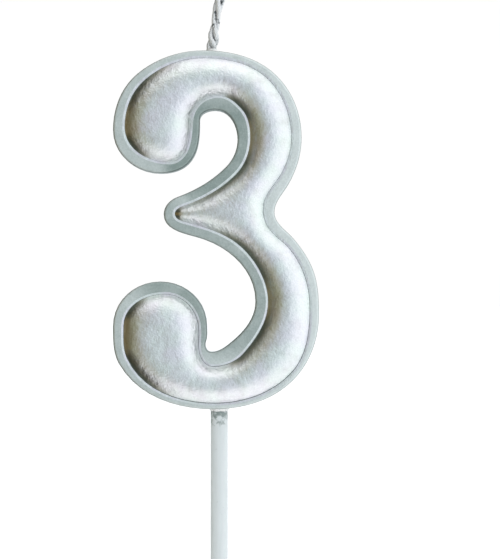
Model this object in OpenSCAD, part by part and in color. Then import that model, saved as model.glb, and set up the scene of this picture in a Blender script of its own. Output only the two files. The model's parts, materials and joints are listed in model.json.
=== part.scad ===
// Number birthday candle: a wax figure three on a pick, with a twisted wick.
//
// The candle stands upright, +Z up, with the face of the numeral towards -Y. The
// origin is on the pick's axis where its bare shaft starts, under the wax collar.
// The numeral is cast in two pours: a flat back plate, and a puffed front that
// stands in a shallow seat in the plate and leaves the plate's rim showing.

/* [Numeral] */
// Height of the numeral
numeral_h = 70; // [60:1:90]
// Thickness of the back plate
plate_t = 5.5; // [4:0.1:8]
// Height of the puffed front above the plate's rim
front_h = 2.5; // [1.5:0.1:4]
// Distance from its edge over which the front rounds up to full height
round_r = 4; // [3:0.1:6]
// Width of the groove between the front and the rim
groove_w = 0.1; // [0.1:0.05:0.4]
// Depth of the seat that the front stands in
seat_d = 0.4; // [0.2:0.1:0.6]

/* [Pick] */
// Diameter of the shaft
shaft_d = 3.3; // [2.6:0.1:3.6]
// Length of the bare shaft, down to its point
shaft_l = 47; // [30:1:80]
// Length of the point
point_l = 8; // [5:1:15]
// Height of the wax collar where the pick enters the numeral
collar_h = 0.5; // [0.4:0.1:1.5]
// Depth that the tenon goes into the numeral
tenon_l = 7; // [4:0.1:7.5]
// Clearance round the tenon
tenon_gap = 0.05; // [0.02:0.01:0.1]

/* [Wick] */
// Diameter over the twisted plies, at the wax
wick_d = 1.9; // [1.4:0.1:2.2]
// Height that the wick stands above the numeral
wick_h = 13; // [8:1:20]
// Depth that the wick goes into the numeral
root_l = 8; // [4:1:9]
// Height along the wick of one full turn of the twist
twist_pitch = 6; // [5:0.5:12]
// Height of the wax bead round the wick's root
bead_h = 0.5; // [0.3:0.1:1.5]

/* [Hidden] */

// ---- Outline of the numeral -------------------------------------------------
// The numeral is one stroke with an outer and an inner edge, both drawn from the
// end of the hook to the end of the lower ball, on a figure 70 mm high that
// stands on Z = 0. A knot is [x, z, heading], in mm and degrees: a heading of 0
// runs towards +X and 90 towards +Z. The edge turns as an arc between knots.
drawn_h = 70;

plate_outer = [
    [-11.5, 46.1, 180],   // end of the hook
    [-20.7, 54.5, 90],    // left side of the hook
    [-16, 65.4, 40],
    [-3, 70, 0],          // crown
    [11.3, 65, -45],
    [16.1, 53, -90],      // right side of the upper bowl
    [13.6, 44, -120],
    [10.8, 38.4, -90],    // waist
    [14.6, 33.2, -50],
    [18.4, 27, -70],
    [19.5, 18.5, -90],    // right side of the lower bowl
    [14.4, 5.6, -135],
    [-1.2, 0, -180],      // underside
    [-19.5, 8.8, -240],
    [-20.7, 16.2, -270],  // left side of the ball
    [-11.5, 24.9, -360],  // end of the ball
];
plate_inner = [
    [-11.5, 46.1, 0],
    [-6, 48, 45],
    [-3.8, 56.5, 90],     // left side of the upper counter
    [-0.7, 58.5, 0],      // top of the upper counter
    [3.6, 52.6, -90],     // right side of the upper counter
    [1.3, 47.2, -135],
    [-8.1, 41.4, -160],   // upper shoulder of the spur
    [-10.8, 38, -90],     // tip of the spur
    [-2.8, 33.1, -20],
    [7.1, 21, -90],       // right side of the lower counter
    [2.8, 13.4, -140],
    [-1.5, 11.1, -180],   // bottom of the lower counter
    [-2.6, 13.2, -290],
    [-2.4, 16.2, -270],   // right side of the ball
    [-11.5, 24.9, -180],
];

// The front's knots come in pairs, one on each edge, and a rib runs between them.
front_outer = [
    [-9.7, 48.2, 180],    // end of the hook
    [-18.4, 55, 90],
    [-14.4, 64.3, 40],
    [-3, 68.5, 0],        // crown
    [10.4, 63.5, -50],
    [14.1, 53, -90],
    [11.4, 44.8, -125],
    [8.8, 40.6, -110],
    [8.6, 38.6, -90],     // waist
    [8.9, 36.9, -75],
    [12.3, 32.7, -40],
    [16.6, 26.2, -70],
    [17.7, 19.6, -90],
    [13.8, 6.8, -135],
    [-0.9, 1.2, -180],    // underside
    [-17.9, 9.9, -245],
    [-18.6, 16.2, -270],
    [-10.6, 22.4, -360],  // end of the ball
];
front_inner = [
    [-9.7, 48.2, 0],
    [-6.5, 50.5, 65],
    [-5.5, 56.3, 85],
    [-0.2, 61.2, 0],      // over the upper counter
    [4.6, 58.3, -50],
    [6.1, 53, -90],
    [3.2, 45.7, -135],
    [-6.4, 39.8, -160],   // upper shoulder of the spur
    [-8.6, 38.1, -90],    // tip of the spur
    [-6.4, 36.5, -15],
    [1.8, 33.5, -30],
    [7.6, 27.6, -60],
    [9.6, 20.9, -90],
    [5, 11.1, -130],
    [-1.1, 8.3, -180],    // under the lower counter
    [-4, 12.3, -270],
    [-4.1, 16.7, -260],
    [-10.6, 22.4, -180],
];

// Places along a curve between two knots, and across a rib
span_steps = 10;
rib_steps = 20;

function flat(knot) = [knot[0], knot[1]];
function unit(angle) = [cos(angle), sin(angle)];
function mix(a, b, t) = a + (b - a) * t;

// Reach of a curve's handles that makes it turn as an arc
function reach(a, b) = norm(flat(b) - flat(a)) / (3 * pow(cos((b[2] - a[2]) / 4), 2));
function bezier(a, b, c, d, t) =
    pow(1 - t, 3) * a + 3 * pow(1 - t, 2) * t * b + 3 * (1 - t) * t * t * c + pow(t, 3) * d;
function between(a, b, t) = bezier(
    flat(a), flat(a) + reach(a, b) * unit(a[2]),
    flat(b) - reach(a, b) * unit(b[2]), flat(b), t);

// The points of an edge through its knots, at the numeral's size and place
function place(p) = p * numeral_h / drawn_h + [0, collar_h];
function edge(knots) = [
    for (i = [0 : len(knots) - 2]) for (j = [0 : span_steps - 1])
        place(between(knots[i], knots[i + 1], j / span_steps)),
    place(flat(knots[len(knots) - 1])),
];

// Out along one edge and back along the other
function outline(outer, inner) = concat(outer, [for (i = [len(inner) - 2 : -1 : 1]) inner[i]]);

// An outline, which runs clockwise, moved out by a small distance
function neighbour(points, i, step) = points[(i + step + len(points)) % len(points)];
function outward(points, i) =
    let (along = neighbour(points, i, 1) - neighbour(points, i, -1))
    [-along[1], along[0]] / norm(along);
function swollen(points, by) = [for (i = [0 : len(points) - 1]) points[i] + by * outward(points, i)];

plate_edge = outline(edge(plate_outer), edge(plate_inner));
front_left = edge(front_outer);
front_right = edge(front_inner);
front_edge = outline(front_left, front_right);

// ---- Places and sizes that follow from the ones above ------------------------
face_y = -plate_t / 2;             // the plate's face; the pick is at its mid-depth
seat_y = face_y + seat_d;
numeral_top = numeral_h + collar_h;

tenon_r = shaft_d / 2 - 0.3;
tenon_top = tenon_l + collar_h;
tenon_bevel = 0.4;
socket_r = tenon_r + tenon_gap;
socket_top = tenon_top + 0.5;
tip_r = 0.5;                       // the point ends blunt
collar_r = shaft_d / 2 + 0.1;      // at the shaft
collar_flare = 0.4;                // more than that at the numeral

wick_x = -1.45 * numeral_h / drawn_h;
ply_r = wick_d / 4.6;              // three plies that just clear each other
ply_orbit = wick_d / 2 - ply_r;
wick_hole_r = wick_d / 2 + 0.05;
root_end = 0.3;                    // left free under the wick's end
bead_r = wick_d / 2 + 0.55;
bead_neck_r = wick_d / 2 + 0.25;
free_z = numeral_top + bead_h + 0.6;   // the free wick starts just past its bending point
sink = 0.5;                        // how far a collar's cone starts inside the numeral
through = 1;                       // how far a cutter runs past a face
round_fn = 64;

// ---- Numeral -----------------------------------------------------------------
// A prism on an outline in X and Z, from y0 back to y1
module slab(points, y0, y1) {
    translate([0, y1, 0]) rotate([90, 0, 0]) linear_extrude(y1 - y0) polygon(points);
}

module plate_solid() slab(plate_edge, face_y, -face_y);

// The bores that the pick's tenon and the wick stand in
module socket() {
    translate([0, 0, -through]) cylinder(h = socket_top + through, r = socket_r, $fn = round_fn);
}
module wick_hole() {
    translate([wick_x, 0, numeral_top - root_l])
        cylinder(h = root_l + bead_h + through, r = wick_hole_r, $fn = round_fn);
}

module back_plate() {
    color([0.72, 0.78, 0.78]) difference() {
        plate_solid();
        slab(swollen(front_edge, groove_w), face_y - through, seat_y);
        socket();
        wick_hole();
    }
}

// Mean distance from p to the front's edge: small beside it, level in the middle.
// Each side of the outline adds what it would as one stretch of a long wall.
function side_pull(p, a, b) =
    let (
        along = (b - a) / norm(b - a),
        off = a - p,
        apart = max(1e-6, off * off - pow(off * along, 2))
    )
    ((b - p) * along / norm(b - p) - off * along / norm(off)) / apart;
function depth_in(p, points, i = 0, sum = 0) =
    i == len(points) ? sqrt(2 / sum)
    : depth_in(p, points, i + 1, sum + side_pull(p, points[i], points[(i + 1) % len(points)]));

// Height of the puffed front over its edge: a parabola that levels off at round_r
function puff(p) = front_h * (1 - pow(1 - min(1, depth_in(p, front_edge) / round_r), 2));

ribs = len(front_left) - 2;        // between the two ends, which are points
row = rib_steps + 1;
// Places crowd towards a rib's ends, where the surface is steep
function rib_point(i, j) =
    let (p = mix(front_left[i], front_right[i], (1 - cos(180 * j / rib_steps)) / 2))
    [p[0], face_y - (j == 0 || j == rib_steps ? 0 : puff(p)), p[1]];
function seat_point(p) = [p[0], seat_y, p[1]];

module front_relief() {
    tail = ribs * row;             // index of the first point after the grid
    last = len(front_left) - 1;
    points = concat(
        [for (i = [1 : ribs]) for (j = [0 : rib_steps]) rib_point(i, j)],
        [for (i = [1 : ribs]) seat_point(front_left[i])],
        [for (i = [1 : ribs]) seat_point(front_right[i])],
        [for (i = [0, last]) [front_left[i][0], face_y, front_left[i][1]]],
        [for (i = [0, last]) seat_point(front_left[i])]
    );
    function top(i, j) = i * row + j;
    function low_left(i) = tail + i;
    function low_right(i) = tail + ribs + i;
    hook_end = tail + 2 * ribs;
    ball_end = hook_end + 1;
    low_hook_end = hook_end + 2;
    low_ball_end = hook_end + 3;
    m = ribs - 1;                  // the last rib
    faces = concat(
        // crown: two triangles to each patch, and a fan at each end
        [for (i = [0 : m - 1]) for (j = [0 : rib_steps - 1]) each [
            [top(i, j), top(i + 1, j), top(i + 1, j + 1)],
            [top(i, j), top(i + 1, j + 1), top(i, j + 1)]]],
        [for (j = [0 : rib_steps - 1]) [hook_end, top(0, j), top(0, j + 1)]],
        [for (j = [0 : rib_steps - 1]) [ball_end, top(m, j + 1), top(m, j)]],
        // walls down into the seat
        [for (i = [0 : m - 1]) each [
            [top(i, 0), low_left(i), low_left(i + 1)],
            [top(i, 0), low_left(i + 1), top(i + 1, 0)],
            [top(i, rib_steps), low_right(i + 1), low_right(i)],
            [top(i, rib_steps), top(i + 1, rib_steps), low_right(i + 1)]]],
        [[hook_end, low_hook_end, low_left(0)], [hook_end, low_left(0), top(0, 0)],
         [hook_end, low_right(0), low_hook_end], [hook_end, top(0, rib_steps), low_right(0)],
         [ball_end, low_left(m), low_ball_end], [ball_end, top(m, 0), low_left(m)],
         [ball_end, low_ball_end, low_right(m)], [ball_end, low_right(m), top(m, rib_steps)]],
        // underside, one patch between each two ribs
        [for (i = [0 : m - 1]) each [
            [low_left(i), low_right(i), low_right(i + 1)],
            [low_left(i), low_right(i + 1), low_left(i + 1)]]],
        [[low_hook_end, low_right(0), low_left(0)], [low_ball_end, low_left(m), low_right(m)]]
    );
    color([0.8, 0.83, 0.85]) polyhedron(points, faces, convexity = 6);
}

// ---- Pick ----------------------------------------------------------------------
module stick() {
    color([0.93, 0.95, 0.96]) rotate_extrude($fn = round_fn) polygon([
        [0, -shaft_l - point_l], [tip_r, -shaft_l - point_l], [shaft_d / 2, -shaft_l],
        [shaft_d / 2, 0], [tenon_r, 0],
        [tenon_r, tenon_top - tenon_bevel], [tenon_r - tenon_bevel, tenon_top], [0, tenon_top],
    ]);
}

// Wax drawn down to the pick's shoulder
module stick_collar() {
    color([0.76, 0.8, 0.8]) difference() {
        cylinder(h = collar_h + sink, r1 = collar_r, r2 = collar_r + collar_flare, $fn = round_fn);
        plate_solid();
        socket();
    }
}

// ---- Wick ------------------------------------------------------------------------
// The wick leans out of the wax and curls over: its middle's place in X at height
// h over the numeral
wick_lean = 0.09;
wick_curl = 0.007;
function lean_x(h) = wick_x + wick_lean * h + wick_curl * h * h;

ply_sides = 10;
ply_rings = 30;
// Ring k of a ply: its middle orbits the wick's own as the twist turns
function ply_ring(k, turn, z0, z1, leans, taper) =
    let (
        t = k / ply_rings,
        z = mix(z0, z1, t),
        h = z - numeral_top,
        x = leans ? lean_x(h) : wick_x,
        size = 1 - taper * t,
        a = turn - 360 * h / twist_pitch
    )
    [for (s = [0 : ply_sides - 1])
        let (b = 360 * s / ply_sides)
        [x + size * (ply_orbit * cos(a) + ply_r * cos(b)), size * (ply_orbit * sin(a) + ply_r * sin(b)), z]];

module ply(turn, z0, z1, leans, taper) {
    points = [for (k = [0 : ply_rings]) each ply_ring(k, turn, z0, z1, leans, taper)];
    n = ply_sides;
    faces = concat(
        [[for (s = [0 : n - 1]) s]],
        [[for (s = [n - 1 : -1 : 0]) ply_rings * n + s]],
        [for (k = [0 : ply_rings - 1]) for (s = [0 : n - 1]) let (r = (s + 1) % n) each [
            [k * n + s, (k + 1) * n + s, (k + 1) * n + r],
            [k * n + s, (k + 1) * n + r, k * n + r]]]
    );
    polyhedron(points, faces, convexity = 4);
}

// A ply of the free wick, given its number from 0
module free_ply(index) {
    color([0.7, 0.72, 0.76])
        ply(index * 120, free_z, numeral_top + wick_h, true, 0.15);
}

module wick_ply_1() free_ply(0);
module wick_ply_2() free_ply(1);
module wick_ply_3() free_ply(2);

// The stretch of the wick that is cast into the wax
module wick_root() {
    color([0.85, 0.85, 0.82]) for (index = [0 : 2])
        ply(index * 120, numeral_top - root_l + root_end, numeral_top + bead_h, false, 0);
}

// Wax drawn up round the wick
module wick_collar() {
    color([0.76, 0.8, 0.8]) difference() {
        translate([wick_x, 0, numeral_top - sink])
            cylinder(h = bead_h + sink, r1 = bead_r, r2 = bead_neck_r, $fn = round_fn);
        plate_solid();
        wick_hole();
    }
}

back_plate();
front_relief();
stick();
stick_collar();
wick_root();
wick_collar();
wick_ply_1();
wick_ply_2();
wick_ply_3();
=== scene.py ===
import json
import math

import bmesh
import bpy
from mathutils import Matrix, Vector, noise
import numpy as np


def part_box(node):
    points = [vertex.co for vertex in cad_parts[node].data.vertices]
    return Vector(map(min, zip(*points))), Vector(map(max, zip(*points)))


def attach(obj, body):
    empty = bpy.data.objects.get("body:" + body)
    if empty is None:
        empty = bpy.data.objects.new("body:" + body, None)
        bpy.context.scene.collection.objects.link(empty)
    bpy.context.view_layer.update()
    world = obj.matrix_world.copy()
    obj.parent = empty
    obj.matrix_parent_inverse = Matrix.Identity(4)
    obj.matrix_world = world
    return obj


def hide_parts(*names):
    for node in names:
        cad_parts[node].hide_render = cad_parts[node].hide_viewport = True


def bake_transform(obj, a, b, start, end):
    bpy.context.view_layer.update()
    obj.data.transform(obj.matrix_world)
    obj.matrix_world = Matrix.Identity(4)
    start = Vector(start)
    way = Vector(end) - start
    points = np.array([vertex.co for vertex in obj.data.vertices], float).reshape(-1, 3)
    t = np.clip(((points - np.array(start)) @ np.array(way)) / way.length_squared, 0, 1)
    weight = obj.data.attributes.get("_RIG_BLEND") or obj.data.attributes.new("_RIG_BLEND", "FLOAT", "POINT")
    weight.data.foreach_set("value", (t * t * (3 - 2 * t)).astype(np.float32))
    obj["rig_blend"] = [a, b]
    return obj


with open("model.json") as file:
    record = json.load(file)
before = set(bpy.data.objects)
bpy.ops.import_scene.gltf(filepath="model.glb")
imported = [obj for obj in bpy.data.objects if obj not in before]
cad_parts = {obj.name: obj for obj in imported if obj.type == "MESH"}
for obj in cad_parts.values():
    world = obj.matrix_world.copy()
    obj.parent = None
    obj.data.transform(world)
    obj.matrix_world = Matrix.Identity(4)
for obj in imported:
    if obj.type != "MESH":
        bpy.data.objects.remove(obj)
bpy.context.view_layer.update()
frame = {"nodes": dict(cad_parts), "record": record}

MM = 0.001
WELD = 0.001 * MM              # points closer than this are one point
UP = Vector((0, 0, 1))

# ---- Places that follow from the frame ----------------------------------------
plate_low, plate_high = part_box("back_plate")
stick_low, stick_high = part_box("stick")
root_low, root_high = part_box("wick_root")
face_y = plate_low.y                       # the plate's face
back_y = plate_high.y
seat_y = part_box("front_relief")[1].y       # floor of the seat that the front stands in
numeral_base = plate_low.z
numeral_top = plate_high.z
bead_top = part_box("wick_collar")[1].z
wick_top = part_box("wick_ply_1")[1].z
openings = {o["name"]: (Vector(o["box_m"][0]) + Vector(o["box_m"][1])) / 2
            for o in frame["record"]["physics"]["openings"]}

# ---- Sizes of the finish --------------------------------------------------------
plate_edge_r = 0.4 * MM        # rounding of the plate's outer edges
lip_w = 0.38 * MM              # width of the lip that slopes from the rim down to the seat
lip_drop = 0.10 * MM           # and how far it drops at most
land = 0.1 * MM                # strip along a rounded edge over which the light turns

shaft_r = stick_high.x
shaft_l = frame["record"]["mounts"][0]["dims"]["length_mm"] * MM
tenon_r = shaft_r - 0.3 * MM   # past the shoulder that the wax rests on
socket_r = tenon_r + 0.05 * MM
tip_r = 0.5 * MM

wick_x = (root_low.x + root_high.x) / 2
wick_r = (root_high.x - root_low.x) / 2
wick_lean = 0.115              # sideways for each millimetre up
wick_curl = 0.004 / MM         # and for its square
twist_pitch = 6 * MM
bend_l = 5 * MM                # the stretch above the bead that takes up the wick's bend


# ---- Tools of the shop ------------------------------------------------------------
def linear(hex_colour):
    """An sRGB hex colour as linear RGBA."""
    def channel(i):
        c = int(hex_colour[i:i + 2], 16) / 255
        return c / 12.92 if c <= 0.04045 else ((c + 0.055) / 1.055) ** 2.4
    return (channel(1), channel(3), channel(5), 1)


def add(tree, kind, inputs=None, **settings):
    """Adds a node, sets its properties, and fills its sockets with values or links."""
    node = tree.nodes.new(kind)
    for name, value in settings.items():
        setattr(node, name, value)
    for socket, value in (inputs or {}).items():
        if isinstance(value, bpy.types.NodeSocket):
            tree.links.new(value, node.inputs[socket])
        else:
            node.inputs[socket].default_value = value
    return node


def new_material(name):
    """A material with its node tree, its shader and the coordinates of the piece's own frame."""
    material = bpy.data.materials.new(name)
    material.use_nodes = True
    tree = material.node_tree
    place = add(tree, "ShaderNodeTexCoord").outputs["Object"]
    return material, tree, tree.nodes["Principled BSDF"], place


def copy_of(node):
    """A CAD node's shape, its loose triangles joined."""
    bm = bmesh.new()
    bm.from_mesh(frame["nodes"][node].data)
    bmesh.ops.remove_doubles(bm, verts=bm.verts, dist=WELD)
    return bm


def finish_piece(bm, name, material, body=None, sharp=None):
    """Turns a finished bmesh into a piece, and hangs it on its body."""
    mesh = bpy.data.meshes.new(name)
    bm.to_mesh(mesh)
    bm.free()
    # a copied CAD shape brings its own shading normals, which no longer fit it
    for attribute in [a for a in mesh.attributes if a.name == "custom_normal"]:
        mesh.attributes.remove(attribute)
    if sharp is not None:
        mesh.set_sharp_from_angle(angle=math.radians(sharp))
    mesh.materials.append(material)
    obj = bpy.data.objects.new(name, mesh)
    bpy.context.scene.collection.objects.link(obj)
    if body:
        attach(obj, body)
    return obj


def smooth_all(bm):
    for face in bm.faces:
        face.smooth = True


def roll(bm, edges, width, segments):
    """Rounds edges over, and gives back the new faces."""
    return bmesh.ops.bevel(bm, geom=edges, offset=width, offset_type="OFFSET", segments=segments,
                           profile=0.5, affect="EDGES", material=-1, clamp_overlap=False)["faces"]


def lathe(profile, steps, middle=Vector((0, 0, 0))):
    """A profile of (radius, height) points turned round the Z axis through a middle."""
    bm = bmesh.new()
    points = [bm.verts.new((r, 0, z)) for r, z in profile]
    edges = [bm.edges.new(pair) for pair in zip(points, points[1:])]
    bmesh.ops.spin(bm, geom=points + edges, cent=(0, 0, 0), axis=(0, 0, 1),
                   angle=math.tau, steps=steps, use_merge=True, use_duplicate=False)
    bmesh.ops.remove_doubles(bm, verts=bm.verts, dist=WELD)
    bmesh.ops.recalc_face_normals(bm, faces=bm.faces)
    bmesh.ops.translate(bm, verts=bm.verts, vec=middle)
    return bm


def ripple(verts, depth, size):
    """Moves points along their normals by a smooth unevenness of that depth and size."""
    for v in verts:
        v.co += v.normal * depth * noise.noise(v.co / size)


# ---- Camera, light and floor ------------------------------------------------------
def camera():
    """A long lens, level and square to the numeral's face."""
    distance = 450 * MM
    frame_height = 108.97 * MM     # that fills the view from top to bottom
    across, up = 0.665, 0.3614     # the view's middle, as shares of the numeral's size
    data = bpy.data.cameras.new("camera")
    data.sensor_width = 36         # the camera's own millimetres
    data.lens = data.sensor_width * distance / frame_height
    data.clip_start = 10 * MM
    obj = bpy.data.objects.new("camera", data)
    bpy.context.scene.collection.objects.link(obj)
    obj.location = (
        plate_low.x + across * (plate_high.x - plate_low.x),
        face_y - distance,
        numeral_base + up * (numeral_top - numeral_base))
    obj.rotation_euler = (math.radians(90), 0, 0)
    bpy.context.scene.camera = obj


def studio():
    """A white room that the candle mirrors: white on the right, above and below, grey
    towards the camera, and an unlit brown side on the left with dark corners behind it."""
    white = (1, 1, 1, 1)
    backdrop = (0.8, 0.8, 0.8, 1)  # what the camera sees: plain white, at the room's strength
    bpy.context.scene.view_settings.view_transform = "Standard"
    world = bpy.data.worlds.new("studio")
    bpy.context.scene.world = world
    world.use_nodes = True
    tree = world.node_tree
    way = add(tree, "ShaderNodeTexCoord").outputs["Generated"]
    x, y, z = add(tree, "ShaderNodeSeparateXYZ", {0: way}).outputs
    across = add(tree, "ShaderNodeMapRange", {0: x, 1: -1, 2: 1}).outputs[0]
    walls = add(tree, "ShaderNodeValToRGB", {0: across})
    stops = walls.color_ramp.elements
    stops[0].color = linear("#645c40")
    stops[1].color = linear("#fbfeff")
    for x_side, colour in ((-0.8, "#8f8a74"), (-0.6, "#a2a094"), (-0.2, "#aeb3b7"),
                           (0.0, "#c0c8cd"), (0.35, "#dbe2e7"), (0.7, "#f4f8fa")):
        stops.new((x_side + 1) / 2).color = linear(colour)
    steep = add(tree, "ShaderNodeMath", {0: z}, operation="ABSOLUTE").outputs[0]
    lit, left, slanting, behind = [
        add(tree, "ShaderNodeMapRange", {0: value, 1: start, 2: end},
            interpolation_type="SMOOTHSTEP").outputs[0]
        for value, start, end in ((steep, 0.4, 1.0), (x, -0.2, -0.7), (steep, 0.15, 0.45),
                                  (y, -0.45, -0.05))]
    side = add(tree, "ShaderNodeMath", {0: left, 1: slanting}, operation="MULTIPLY").outputs[0]
    corner = add(tree, "ShaderNodeMath", {0: side, 1: behind}, operation="MULTIPLY").outputs[0]
    seen = add(tree, "ShaderNodeLightPath").outputs["Is Camera Ray"]
    room = walls.outputs[0]
    for share, colour in ((lit, white), (corner, linear("#12181a")), (seen, backdrop)):
        room = add(tree, "ShaderNodeMix", {0: share, 6: room, 7: colour}, data_type="RGBA").outputs[2]
    light = tree.nodes["Background"]
    tree.links.new(room, light.inputs["Color"])
    light.inputs["Strength"].default_value = 1.27


def floor():
    """A pale sheet that the pick's point stands on."""
    bm = bmesh.new()
    reach = 6                      # metres each way, far past the view's edges
    bmesh.ops.create_grid(bm, x_segments=1, y_segments=1, size=reach)
    bmesh.ops.translate(bm, verts=bm.verts, vec=(0, 0, stick_low.z))
    mesh = bpy.data.meshes.new("floor")
    bm.to_mesh(mesh)
    bm.free()
    material, _, shader, _ = new_material("paper_matt")
    shader.inputs["Base Color"].default_value = linear("#f2f3f4")
    shader.inputs["Roughness"].default_value = 0.9
    shader.inputs["Emission Color"].default_value = (1, 1, 1, 1)
    shader.inputs["Emission Strength"].default_value = 0.3
    mesh.materials.append(material)
    obj = bpy.data.objects.new("floor", mesh)
    bpy.context.scene.collection.objects.link(obj)
    obj.visible_glossy = False


# ---- Materials ----------------------------------------------------------------------
def silver_lacquer():
    """Aluminium lacquer sprayed over smooth wax: satin metal, mottled by its flakes and by the
    orange peel that it dried with. The slanting feet that face left are painted dark and
    brownish: painted shade, and a painted reflection of the room's dark brown side."""
    flake = 0.35 * MM              # real flakes are far finer; this coarse, they still show
    dimple = 1.1 * MM
    smear = 2.6 * MM
    drift = 4.5 * MM
    material, tree, shader, place = new_material("silver_lacquer_sprayed")
    flakes = add(tree, "ShaderNodeTexNoise",
                 {"Vector": place, "Scale": 1 / flake, "Detail": 2, "Roughness": 0.6}).outputs[0]
    peel = add(tree, "ShaderNodeTexNoise",
               {"Vector": place, "Scale": 1 / dimple, "Detail": 1}).outputs[0]
    smudge = add(tree, "ShaderNodeTexNoise",
                 {"Vector": place, "Scale": 1 / smear, "Detail": 5, "Roughness": 0.65}).outputs[0]
    drifts = add(tree, "ShaderNodeTexNoise",
                 {"Vector": place, "Scale": 1 / drift, "Detail": 2}).outputs[0]

    sparkle = add(tree, "ShaderNodeMix", {0: flakes, 6: linear("#dcdfe1"), 7: linear("#fdfeff")},
                  data_type="RGBA").outputs[2]
    smudged = add(tree, "ShaderNodeMapRange", {0: smudge, 1: 0.5, 2: 0.7, 4: 0.3}).outputs[0]
    dusty = add(tree, "ShaderNodeMix", {0: smudged, 6: sparkle, 7: linear("#b5b3b0")},
                data_type="RGBA").outputs[2]
    cool = add(tree, "ShaderNodeMapRange", {0: drifts, 1: 0.35, 2: 0.65}).outputs[0]
    tint = add(tree, "ShaderNodeMix", {0: cool, 6: linear("#f9fffb"), 7: linear("#fcfaff")},
               data_type="RGBA").outputs[2]
    tone = add(tree, "ShaderNodeMix", {0: 1, 6: dusty, 7: tint},
               data_type="RGBA", blend_type="MULTIPLY").outputs[2]

    # painted shade and painted reflection: the slanting feet that face left are tinted brown and darkened
    surface = tree.nodes["Texture Coordinate"].outputs["Normal"]
    facing = add(tree, "ShaderNodeSeparateXYZ", {0: surface}).outputs
    depth = add(tree, "ShaderNodeSeparateXYZ", {0: place}).outputs[1]
    slant = add(tree, "ShaderNodeMath", {0: facing[2]}, operation="ABSOLUTE").outputs[0]
    leftward, slanting, low_down = [
        add(tree, "ShaderNodeMapRange", {0: value, 1: start, 2: end},
            interpolation_type="SMOOTHSTEP").outputs[0]
        for value, start, end in ((facing[0], -0.2, -0.5), (slant, 0.1, 0.35),
                                  (depth, face_y - 1.6 * MM, face_y - 0.2 * MM))]
    foot = add(tree, "ShaderNodeMath", {0: leftward, 1: low_down}, operation="MULTIPLY").outputs[0]
    dark_share = add(tree, "ShaderNodeMath", {0: foot, 1: slanting}, operation="MULTIPLY").outputs[0]
    # painted reflection of the room's brown side, then painted shade, on the left-facing feet
    painted_brown_reflection = add(tree, "ShaderNodeMix", {0: foot, 6: tone, 7: linear("#cfc0a2")},
               data_type="RGBA").outputs[2]
    coat = add(tree, "ShaderNodeMix", {0: dark_share, 6: painted_brown_reflection, 7: linear("#858a80")},
               data_type="RGBA").outputs[2]

    rough = add(tree, "ShaderNodeMapRange", {0: flakes, 3: 0.25, 4: 0.39}).outputs[0]
    smeared = add(tree, "ShaderNodeBump",
                  {"Height": smudge, "Distance": 0.16 * MM, "Strength": 1.0}).outputs[0]
    dimpled = add(tree, "ShaderNodeBump",
                  {"Height": peel, "Distance": 0.08 * MM, "Strength": 1.0,
                   "Normal": smeared}).outputs[0]
    flaked = add(tree, "ShaderNodeBump",
                 {"Height": flakes, "Distance": 0.065 * MM, "Strength": 1.0,
                  "Normal": dimpled}).outputs[0]
    tree.links.new(coat, shader.inputs["Base Color"])
    tree.links.new(rough, shader.inputs["Roughness"])
    tree.links.new(flaked, shader.inputs["Normal"])
    shader.inputs["Metallic"].default_value = 1.0
    return material


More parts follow.
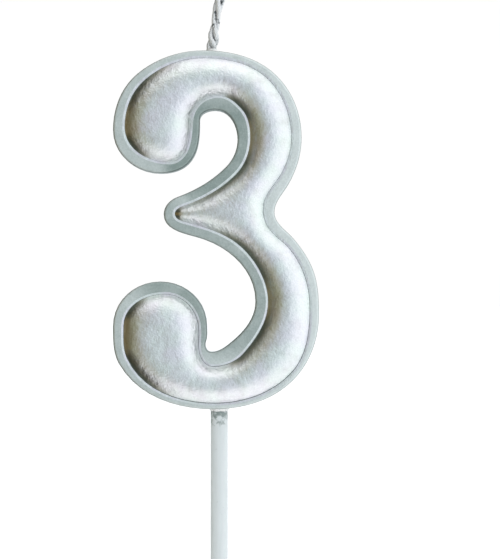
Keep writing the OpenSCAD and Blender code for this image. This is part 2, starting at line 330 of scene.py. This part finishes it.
def thin_lacquer():
    """The same lacquer in a thin, matter coat, so the grey-green wax under it dulls it. It has
    painted shade in the counters and painted light towards the right, and is darker over its
    rounded front edge and a little darker down the sides."""
    flake = 0.4 * MM               # coarser than life, as on the front
    drift = 2.2 * MM
    shelter_reach, shelter_core = 13 * MM, 8 * MM
    material, tree, shader, place = new_material("silver_lacquer_thin")
    flakes = add(tree, "ShaderNodeTexNoise",
                 {"Vector": place, "Scale": 1 / flake, "Detail": 2, "Roughness": 0.6}).outputs[0]
    drifts = add(tree, "ShaderNodeTexNoise",
                 {"Vector": place, "Scale": 1 / drift, "Detail": 3, "Roughness": 0.6}).outputs[0]
    across, depth, _ = add(tree, "ShaderNodeSeparateXYZ", {0: place}).outputs

    # each opening's painted shade is centred some millimetres below its middle
    counter_shade = 0
    for name, lower_by, shelter in (("upper_counter", 2, 0.7), ("lower_counter", 0, 0.6),
                                    ("lower_mouth", 0, 0.45), ("open_side", 0, 0.3)):
        middle = openings[name] - UP * lower_by * MM
        away = add(tree, "ShaderNodeVectorMath", {0: place, 1: middle},
                   operation="DISTANCE").outputs["Value"]
        near = add(tree, "ShaderNodeMapRange",
                   {0: away, 1: shelter_reach, 2: shelter_core, 4: shelter},
                   interpolation_type="SMOOTHSTEP").outputs[0]
        counter_shade = add(tree, "ShaderNodeMath", {0: near, 1: counter_shade},
                        operation="MAXIMUM").outputs[0]
    # painted light: the rim is painted lighter towards the right, where more light falls
    lit_from_right = add(tree, "ShaderNodeMapRange",
                     {0: across, 1: plate_low.x, 2: plate_high.x, 3: 0.1, 4: 0.5}).outputs[0]
    thickness = add(tree, "ShaderNodeMath", {0: counter_shade, 1: -1, 2: lit_from_right},
                    operation="MULTIPLY_ADD").outputs[0]
    for pattern in (flakes, drifts):
        thickness = add(tree, "ShaderNodeMath", {0: pattern, 1: 0.5, 2: thickness},
                        operation="MULTIPLY_ADD").outputs[0]
    tone = add(tree, "ShaderNodeMix", {0: thickness, 6: linear("#9aa9a5"), 7: linear("#e8efee")},
               data_type="RGBA").outputs[2]

    # darker over the rounded front edge and a little darker down the sides
    turned = add(tree, "ShaderNodeMapRange",
                 {0: depth, 1: face_y + 0.01 * MM, 2: face_y + 0.3 * MM, 4: 0.85}).outputs[0]
    past = add(tree, "ShaderNodeMapRange",
               {0: depth, 1: face_y + 1.6 * MM, 2: face_y + 0.4 * MM, 3: 0.25}).outputs[0]
    edge = add(tree, "ShaderNodeMath", {0: turned, 1: past}, operation="MULTIPLY").outputs[0]
    dark_edge = add(tree, "ShaderNodeMix", {0: edge, 6: tone, 7: linear("#66716f")},
               data_type="RGBA").outputs[2]
    rough = add(tree, "ShaderNodeMapRange", {0: flakes, 3: 0.40, 4: 0.56}).outputs[0]
    bump = add(tree, "ShaderNodeBump", {"Height": flakes, "Distance": 0.04 * MM, "Strength": 1.0})
    tree.links.new(dark_edge, shader.inputs["Base Color"])
    tree.links.new(rough, shader.inputs["Roughness"])
    tree.links.new(bump.outputs[0], shader.inputs["Normal"])
    shader.inputs["Metallic"].default_value = 0.75
    return material


def drawn_wax():
    """Wax drawn out thin round the pick and the wick, misted with lacquer: pale and waxy."""
    droplet = 0.4 * MM
    material, tree, shader, place = new_material("candle_wax_misted")
    grain = add(tree, "ShaderNodeTexNoise",
                {"Vector": place, "Scale": 1 / droplet, "Detail": 4, "Roughness": 0.65}).outputs[0]
    coat = add(tree, "ShaderNodeMapRange", {0: grain, 1: 0.48, 2: 0.68}).outputs[0]
    tone = add(tree, "ShaderNodeMix", {0: coat, 6: linear("#f1f0ef"), 7: linear("#b9c2c1")},
               data_type="RGBA").outputs[2]
    bump = add(tree, "ShaderNodeBump", {"Height": grain, "Distance": 0.04 * MM, "Strength": 1.0})
    tree.links.new(tone, shader.inputs["Base Color"])
    tree.links.new(coat, shader.inputs["Metallic"])
    tree.links.new(bump.outputs[0], shader.inputs["Normal"])
    shader.inputs["Roughness"].default_value = 0.42
    return material


def moulded_plastic():
    """White polypropylene, moulded: smooth and faintly glossy, with a mist of grey overspray
    that breaks up over the first millimetres under the numeral; the hidden tenon is clean."""
    drop, flow_line = 1.0 * MM, 0.6 * MM
    mist_end = -4 * MM             # below the shoulder
    depth_of_glow = 1.0 * MM       # how far light goes into the plastic
    material, tree, shader, place = new_material("polypropylene_moulded")
    height = add(tree, "ShaderNodeSeparateXYZ", {0: place}).outputs[2]
    drops = add(tree, "ShaderNodeTexNoise",
                {"Vector": place, "Scale": 1 / drop, "Detail": 4, "Roughness": 0.6}).outputs[0]
    drawn_out = add(tree, "ShaderNodeMapping", {0: place, 3: (1, 1, 0.1)}).outputs[0]
    flow = add(tree, "ShaderNodeTexNoise",
               {"Vector": drawn_out, "Scale": 1 / flow_line, "Detail": 2}).outputs[0]
    reach = add(tree, "ShaderNodeMapRange",
                {0: height, 1: mist_end, 2: 0.2 * MM, 3: 0.28, 4: 0.6}).outputs[0]
    over = add(tree, "ShaderNodeMath", {0: reach, 1: drops}, operation="SUBTRACT").outputs[0]
    caught = add(tree, "ShaderNodeMapRange", {0: over, 1: -0.06, 2: 0.12}).outputs[0]
    outside = add(tree, "ShaderNodeMapRange", {0: height, 1: 0.1 * MM, 2: -0.05 * MM}).outputs[0]
    mist = add(tree, "ShaderNodeMath", {0: caught, 1: outside}, operation="MULTIPLY").outputs[0]
    white = add(tree, "ShaderNodeMix", {0: flow, 6: linear("#d3dadb"), 7: linear("#dfe5e7")},
                data_type="RGBA").outputs[2]
    tone = add(tree, "ShaderNodeMix", {0: mist, 6: white, 7: linear("#8f9b99")},
               data_type="RGBA").outputs[2]
    bump = add(tree, "ShaderNodeBump", {"Height": flow, "Distance": 0.01 * MM, "Strength": 0.6})
    tree.links.new(tone, shader.inputs["Base Color"])
    tree.links.new(bump.outputs[0], shader.inputs["Normal"])
    shader.inputs["Roughness"].default_value = 0.42
    shader.inputs["IOR"].default_value = 1.49
    shader.inputs["Subsurface Weight"].default_value = 0.15
    shader.inputs["Subsurface Radius"].default_value = (depth_of_glow,) * 3
    shader.inputs["Subsurface Scale"].default_value = 1.0
    return material


def lacquered_cotton():
    """Twisted cotton soaked in wax and caught by the lacquer: pale and silvery on the crowns
    of the plies, with grey patches where bare waxed cotton shows."""
    tuft, patch = 0.3 * MM, 1.3 * MM
    material, tree, shader, place = new_material("cotton_waxed_lacquered")
    fibre = add(tree, "ShaderNodeTexNoise",
                {"Vector": place, "Scale": 1 / tuft, "Detail": 4, "Roughness": 0.7}).outputs[0]
    blotch = add(tree, "ShaderNodeTexNoise",
                 {"Vector": place, "Scale": 1 / patch, "Detail": 2}).outputs[0]
    silver = add(tree, "ShaderNodeMix", {0: fibre, 6: linear("#bcc0c3"), 7: linear("#ffffff")},
                 data_type="RGBA").outputs[2]
    dark_share = add(tree, "ShaderNodeMapRange", {0: blotch, 1: 0.41, 2: 0.34}).outputs[0]
    tone = add(tree, "ShaderNodeMix", {0: dark_share, 6: silver, 7: linear("#62676a")},
               data_type="RGBA").outputs[2]
    bump = add(tree, "ShaderNodeBump", {"Height": fibre, "Distance": 0.04 * MM, "Strength": 1.0})
    tree.links.new(tone, shader.inputs["Base Color"])
    tree.links.new(bump.outputs[0], shader.inputs["Normal"])
    shader.inputs["Metallic"].default_value = 0.5
    shader.inputs["Roughness"].default_value = 0.4
    return material


# ---- Numeral --------------------------------------------------------------------------
def level_with(edge, y):
    return all(abs(v.co.y - y) < WELD for v in edge.verts)


def wall_depth(edge):
    """How deep the wall beside an edge goes; nothing where there is no wall."""
    walls = [f for f in edge.link_faces if abs(f.normal.y) < 0.5]
    return max((max(v.co.y for v in f.verts) - min(v.co.y for v in f.verts) for f in walls), default=0)


def flats(bm, y):
    """The level faces at one depth."""
    return [f for f in bm.faces if abs(f.normal.y) > 0.9 and all(abs(v.co.y - y) < WELD for v in f.verts)]


def snug(z):
    """How far the lip creeps over the groove: most at the top, least at the base."""
    share = (z - numeral_base) / (numeral_top - numeral_base)
    return (0.02 + 0.06 * min(1, 1.6 * share)) * MM


def plate_casting(material, lip_material):
    """The back plate as it leaves the mould: rounded edges, a sloping lip round the seat that
    caught the front's lacquer, and a back that sank a little as the wax set."""
    bm = copy_of("back_plate")
    bmesh.ops.dissolve_limit(bm, angle_limit=math.radians(0.3), use_dissolve_boundaries=False,
                             verts=bm.verts, edges=bm.edges)
    shallow = 2 * (seat_y - face_y)            # the seat's walls are, the plate's outside isn't
    front = [e for e in bm.edges if level_with(e, face_y) and wall_depth(e) > 0]
    outline = [e for e in front if wall_depth(e) > shallow]
    lip = [e for e in front if wall_depth(e) <= shallow]
    behind = [e for e in bm.edges if level_with(e, back_y) and wall_depth(e) > 0]
    for face in roll(bm, lip, lip_w, 1):
        face.material_index = 1
    for v in [v for v in bm.verts if abs(v.co.y - face_y - lip_w) < WELD]:
        walls = [f.normal for f in v.link_faces if abs(f.normal.y) < 0.3]
        inward = sum(walls, Vector()).normalized()
        v.co += inward * snug(v.co.z)
        v.co.y = face_y + lip_drop * (0.65 + 0.35 * inward.x)     # least where it faces left
    roll(bm, outline, plate_edge_r, 4)
    roll(bm, behind, plate_edge_r, 4)
    smooth_all(bm)
    rim = flats(bm, face_y)
    bmesh.ops.inset_region(bm, faces=rim, thickness=land, depth=0, use_boundary=True,
                           use_even_offset=True)
    back = flats(bm, back_y)
    # steps in from the back's edge, each with its width and how far the wax sank over it
    for width, sink in ((0.4, 0), (0.3, 0.03), (0.3, 0.09), (0.3, 0.09), (0.3, 0.04), (0.2, 0)):
        bmesh.ops.inset_region(bm, faces=back, thickness=width * MM, depth=-sink * MM,
                               use_boundary=True, use_even_offset=True)
    for face in rim + back:
        face.smooth = False
    obj = finish_piece(bm, "plate_casting", material, "numeral", sharp=50)
    obj.data.materials.append(lip_material)
    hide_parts("back_plate")


def front_puff(material):
    """The puffed front, smoothed over its ribs, with the slight unevenness of a hand pour."""
    bm = copy_of("front_relief")
    bmesh.ops.join_triangles(bm, faces=bm.faces, angle_face_threshold=math.radians(40),
                             angle_shape_threshold=math.radians(60))
    crease = bm.edges.layers.float.new("crease_edge")
    for edge in bm.edges:
        if level_with(edge, seat_y) and wall_depth(edge) > 0:
            edge[crease] = 1
    crown = [v for v in bm.verts if v.co.y < face_y - 0.8 * MM]
    ripple(crown, 0.05 * MM, 5 * MM)
    settled = 0.02 * MM            # keeps the ripples behind the casting's highest point
    bmesh.ops.translate(bm, verts=crown, vec=(0, settled, 0))
    smooth_all(bm)
    obj = finish_piece(bm, "front_puff", material, "numeral")
    rounding = obj.modifiers.new("rounding", "SUBSURF")
    rounding.levels = rounding.render_levels = 2
    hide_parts("front_relief")


def wax_ring(material):
    """Wax drawn down to the pick's shoulder."""
    foot = numeral_base
    profile = [
        (socket_r, foot + 0.3 * MM), (socket_r, 0.03 * MM), (shaft_r + 0.02 * MM, 0.01 * MM),
        (shaft_r + 0.06 * MM, 0.1 * MM), (shaft_r + 0.13 * MM, 0.25 * MM),
        (shaft_r + 0.24 * MM, 0.4 * MM), (shaft_r + 0.36 * MM, foot + 0.03 * MM),
        (shaft_r + 0.36 * MM, foot + 0.3 * MM), (socket_r, foot + 0.3 * MM)]
    bm = lathe(profile, 64)
    outside = [v for v in bm.verts if v.co.xy.length > shaft_r]
    ripple(outside, 0.06 * MM, 0.9 * MM)
    smooth_all(bm)
    obj = finish_piece(bm, "wax_ring", material, "numeral", sharp=50)
    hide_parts("stick_collar")


def wick_bead(material):
    """Wax that crept up round the wick."""
    low, top = numeral_top - 0.35 * MM, bead_top
    bore = wick_r + 0.02 * MM
    profile = [
        (bore, low), (bore, top), (bore + 0.05 * MM, top), (bore + 0.1 * MM, top - 0.15 * MM),
        (bore + 0.16 * MM, top - 0.32 * MM), (bore + 0.28 * MM, top - 0.45 * MM),
        (bore + 0.42 * MM, top - 0.55 * MM), (bore + 0.42 * MM, low), (bore, low)]
    bm = lathe(profile, 64, Vector((wick_x, 0, 0)))
    outside = [v for v in bm.verts if Vector((v.co.x - wick_x, v.co.y)).length > bore + 0.03 * MM]
    ripple(outside, 0.12 * MM, 0.8 * MM)
    smooth_all(bm)
    obj = finish_piece(bm, "wick_bead", material, "numeral", sharp=60)
    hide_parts("wick_collar")


# ---- Pick ---------------------------------------------------------------------------------
def moulded_pick(material):
    """The pick: tenon, shaft and point, with the fine seams of its two-part mould."""
    top, tip = stick_high.z, stick_low.z
    bevel = 0.4 * MM               # the tenon's lead-in
    seam = 0.035 * MM
    bm = lathe([
        (0, top), (tenon_r - bevel, top), (tenon_r, top - bevel), (tenon_r, 0), (shaft_r, 0),
        (shaft_r, -shaft_l), (tip_r, tip), (0, tip)], 64)
    rings = [e for e in bm.edges if abs(e.verts[0].co.z - e.verts[1].co.z) < WELD
             and abs(e.verts[0].co.xy.length - e.verts[1].co.xy.length) < WELD
             and e.calc_face_angle(0) > math.radians(5)]
    point = [e for e in rings if e.verts[0].co.z < tip + WELD]
    others = [e for e in rings if e not in point]
    roll(bm, point, 0.3 * MM, 4)
    roll(bm, others, 0.12 * MM, 3)
    for v in bm.verts:
        if abs(v.co.y) < WELD and abs(v.co.x) > tip_r and v.co.z < -0.3 * MM:
            v.co.x += math.copysign(seam, v.co.x)
    smooth_all(bm)
    obj = finish_piece(bm, "moulded_pick", material, "pick", sharp=40)
    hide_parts("stick")


# ---- Wick -----------------------------------------------------------------------------------
def wick_middle(z):
    """The middle of the wick at a height: upright in the wax, then leaning and curling over."""
    rise = max(0, z - bead_top)
    return Vector((wick_x + wick_lean * rise + wick_curl * rise * rise, 0, z))


def girth(z):
    """How thick the wick is: swollen with wax just above the bead, drawn in over the middle,
    and loosening towards the cut end."""
    swell, waist = 3.6 * MM, 4 * MM            # how long each stretch is
    up = max(0, z - bead_top)
    swollen = math.sin(math.pi * min(1, up / swell))
    drawn_in = math.sin(math.pi * min(1, max(0, up - swell) / waist))
    loose = max(0, up - 6.5 * MM) / (6 * MM)
    return 1 + 0.26 * swollen - 0.1 * drawn_in + 0.5 * loose


def strand(index, material, *stands_for):
    """One ply of the wick, swept up along the twist; its fibres turn the other way."""
    fibres, rings = 7, 140
    low, high = root_low.z, wick_top - 0.5 * MM
    start = math.tau * index / 3
    ply_r = wick_r / 2.2
    orbit = wick_r - ply_r
    fibre_pitch = 5 * MM
    near = 0.05 * MM               # points this far below and above give a ring its direction

    def centre(z):
        up = max(0, z - numeral_top)
        slack = 1 + 0.07 * up / MM                 # the twist opens towards the cut end
        turn = start - math.tau * (z - numeral_top) / (twist_pitch * slack)
        outward = Vector((math.cos(turn), math.sin(turn), 0))
        uneven = 1 + 0.25 * noise.noise(Vector((index * 7.0, 0, z / (1.8 * MM))))
        return wick_middle(z) + outward * orbit * girth(z) * uneven

    def ring_at(k):
        z = low + (high - low) * k / rings
        along = centre(z + near) - centre(z - near)
        taper = (1 + girth(z)) / 2 - 0.12 * max(0, z - numeral_top) / (high - numeral_top)
        lump = 1 + 0.22 * noise.noise(Vector((index * 3.1, 5, z / (1.3 * MM))))
        turn = math.tau * (z - low) / fibre_pitch
        return (Matrix.Translation(centre(z)) @ UP.rotation_difference(along).to_matrix().to_4x4()
                @ Matrix.Rotation(turn, 4, "Z") @ Matrix.Scale(taper * lump, 4))

    bm = bmesh.new()
    bmesh.ops.create_circle(bm, cap_ends=True, segments=4 * fibres, radius=ply_r)
    for v in bm.verts:
        v.co *= 1 + 0.09 * math.cos(fibres * math.atan2(v.co.y, v.co.x))
    bmesh.ops.transform(bm, matrix=ring_at(0), verts=bm.verts)
    bm.normal_update()
    edge_ring = list(bm.edges)
    for k in range(1, rings + 1):
        grown = bmesh.ops.extrude_edge_only(bm, edges=edge_ring)["geom"]
        points = [g for g in grown if isinstance(g, bmesh.types.BMVert)]
        edge_ring = [g for g in grown if isinstance(g, bmesh.types.BMEdge)
                     and all(v in points for v in g.verts)]
        bmesh.ops.transform(bm, matrix=ring_at(k) @ ring_at(k - 1).inverted(), verts=points)
    bmesh.ops.edgeloop_fill(bm, edges=edge_ring)
    bmesh.ops.recalc_face_normals(bm, faces=bm.faces)
    smooth_all(bm)
    obj = finish_piece(bm, f"wick_strand_{index + 1}", material, sharp=60)
    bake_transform(obj, "numeral", "wick",
             start=(wick_x, 0, bead_top), end=(wick_x, 0, bead_top + bend_l))
    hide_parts(*stands_for)


# ---- The candle ---------------------------------------------------------------------------
camera()
studio()
floor()

lacquer = silver_lacquer()
thin = thin_lacquer()
wax = drawn_wax()
cotton = lacquered_cotton()

plate_casting(thin, lacquer)
front_puff(lacquer)
wax_ring(wax)
wick_bead(wax)
moulded_pick(moulded_plastic())
strand(0, cotton, "wick_ply_1", "wick_root")
strand(1, cotton, "wick_ply_2")
strand(2, cotton, "wick_ply_3")
